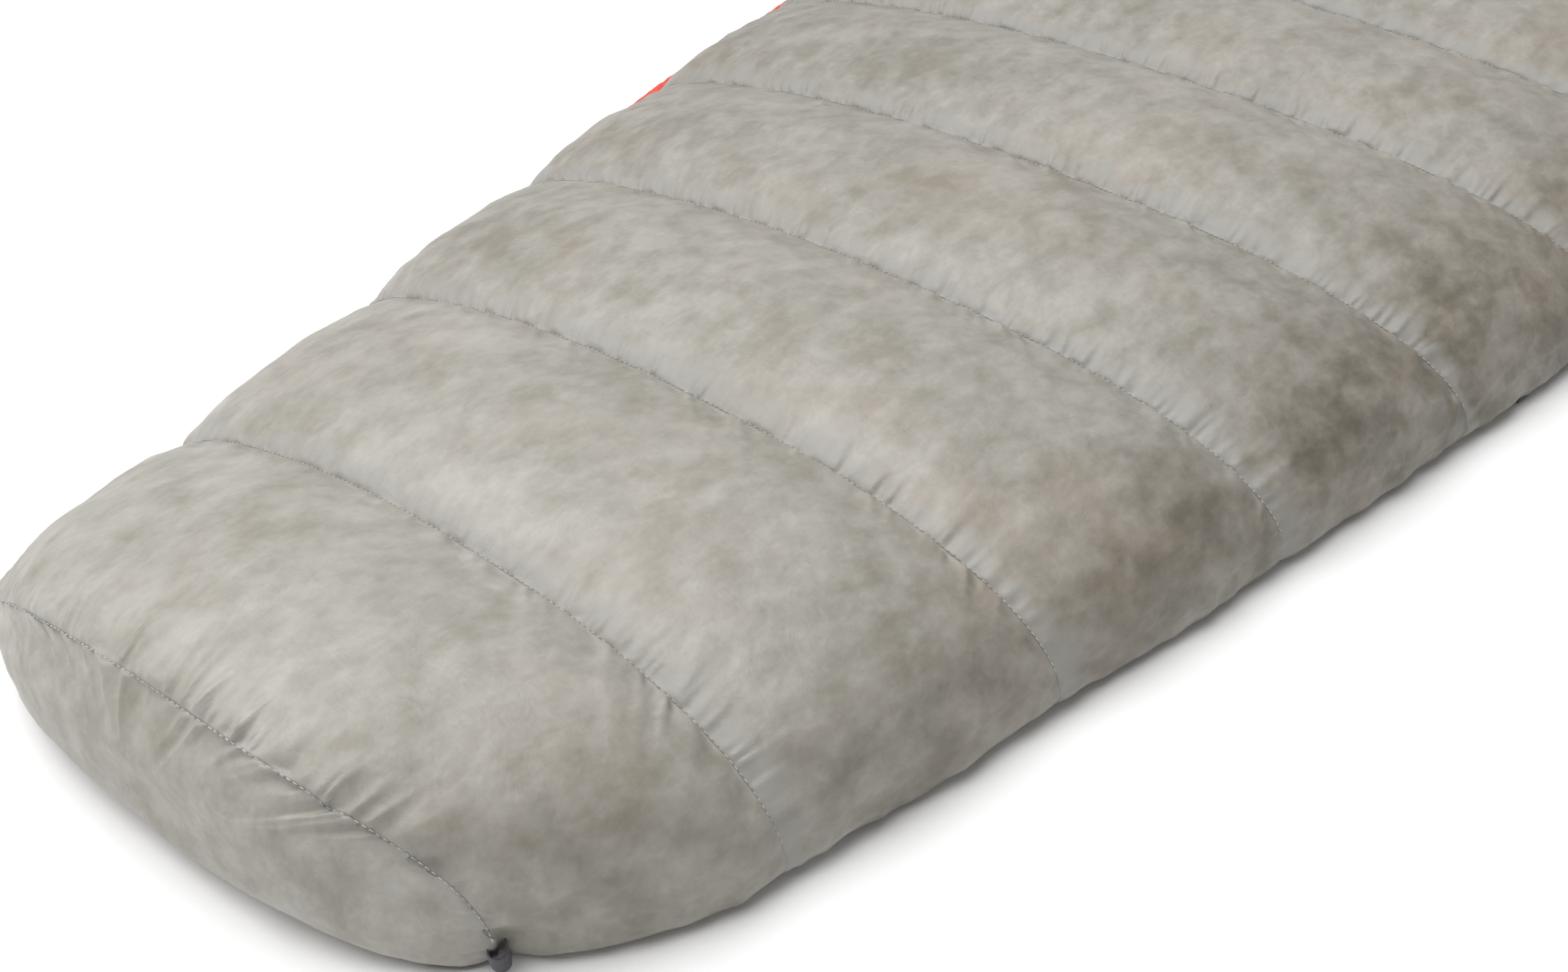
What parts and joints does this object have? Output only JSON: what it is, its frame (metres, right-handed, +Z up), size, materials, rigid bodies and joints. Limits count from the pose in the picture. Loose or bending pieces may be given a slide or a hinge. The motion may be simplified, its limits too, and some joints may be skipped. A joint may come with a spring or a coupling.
{
  "type": "camp quilt",
  "caption": "Down camp quilt lying folded in half: closed footbox, puffed cross chambers, bright lining along its open zipped side, webbing loops at the foot corners.",
  "frame": {"origin": "middle of the quilt's footprint, on the ground", "axes": "+Y along the quilt from its closed foot to its open mouth, +Z up from the ground, so the open side is on -X"},
  "size_m": [0.7522, 1.9306, 0.0962],
  "materials": {
    "shell_fabric": "thin translucent ripstop with a satin sheen",
    "lining_fabric": "satin taffeta",
    "baffle_mesh": "fine net",
    "down": "loose and matt",
    "webbing": "ribbed grosgrain",
    "zip_tape": "woven, matt",
    "zip_metal": "satin",
    "snap": "matt"
  },
  "bodies": {
    "quilt_body": {"shell_top_foot": "shell_fabric", "shell_bottom_foot": "shell_fabric", "lining_top_foot": "lining_fabric", "lining_bottom_foot": "lining_fabric", "down_top_01": "down", "down_bottom_01": "down", "down_top_02": "down", "down_bottom_02": "down", "down_top_03": "down", "down_bottom_03": "down", "down_top_04": "down", "down_bottom_04": "down", "down_top_05": "down", "down_bottom_05": "down", "down_top_06": "down", "down_bottom_06": "down", "down_top_07": "down", "down_bottom_07": "down", "down_top_08": "down", "down_bottom_08": "down", "baffle_01": "baffle_mesh", "baffle_02": "baffle_mesh", "baffle_03": "baffle_mesh", "baffle_04": "baffle_mesh", "baffle_05": "baffle_mesh", "baffle_06": "baffle_mesh", "baffle_07": "baffle_mesh", "baffle_08": "baffle_mesh", "foot_panel_shell": "shell_fabric", "foot_panel_down": "down", "foot_panel_lining": "lining_fabric", "zip_tape_lower_foot": "zip_tape", "zip_tape_upper_foot": "zip_tape", "foot_loop_right": "webbing", "foot_loop_left": "webbing", "mat_loop_right": "webbing"},
    "head_end": {"shell_top_head": "shell_fabric", "shell_bottom_head": "shell_fabric", "lining_top_head": "lining_fabric", "lining_bottom_head": "lining_fabric", "zip_tape_lower_head": "zip_tape", "zip_tape_upper_head": "zip_tape", "down_top_09": "down", "down_top_10": "down", "down_top_11": "down", "down_top_12": "down", "down_bottom_09": "down", "down_bottom_10": "down", "down_bottom_11": "down", "down_bottom_12": "down", "baffle_09": "baffle_mesh", "baffle_10": "baffle_mesh", "baffle_11": "baffle_mesh", "neck_hem_top": "zip_tape", "neck_hem_bottom": "zip_tape", "neck_stud": "snap"},
    "zip_slider": {"zip_slider": "zip_metal"},
    "zip_puller": {"zip_puller": "webbing"},
    "neck_tab": {"neck_tab": "webbing"}
  },
  "joints": [
    {"name": "head_fold", "type": "hinge", "parent": "quilt_body", "child": "head_end", "pos_m": [0.01165, 0.3217, 0.094], "axis": [1, 0, 0], "range_deg": [0, 170]},
    {"name": "zip_travel", "type": "slide", "parent": "quilt_body", "child": "zip_slider", "axis": [0.1354, -0.9908, 0], "range_m": [0, 0.4]},
    {"name": "puller_swing", "type": "hinge", "parent": "zip_slider", "child": "zip_puller", "pos_m": [-0.36214, 0.01897, 0.0147], "axis": [0, 0, -1], "range_deg": [0, 150]},
    {"name": "tab_swing", "type": "hinge", "parent": "head_end", "child": "neck_tab", "pos_m": [-0.3169, 0.9397, 0.02], "axis": [0, 1, 0], "range_deg": [0, 95]}
  ]
}
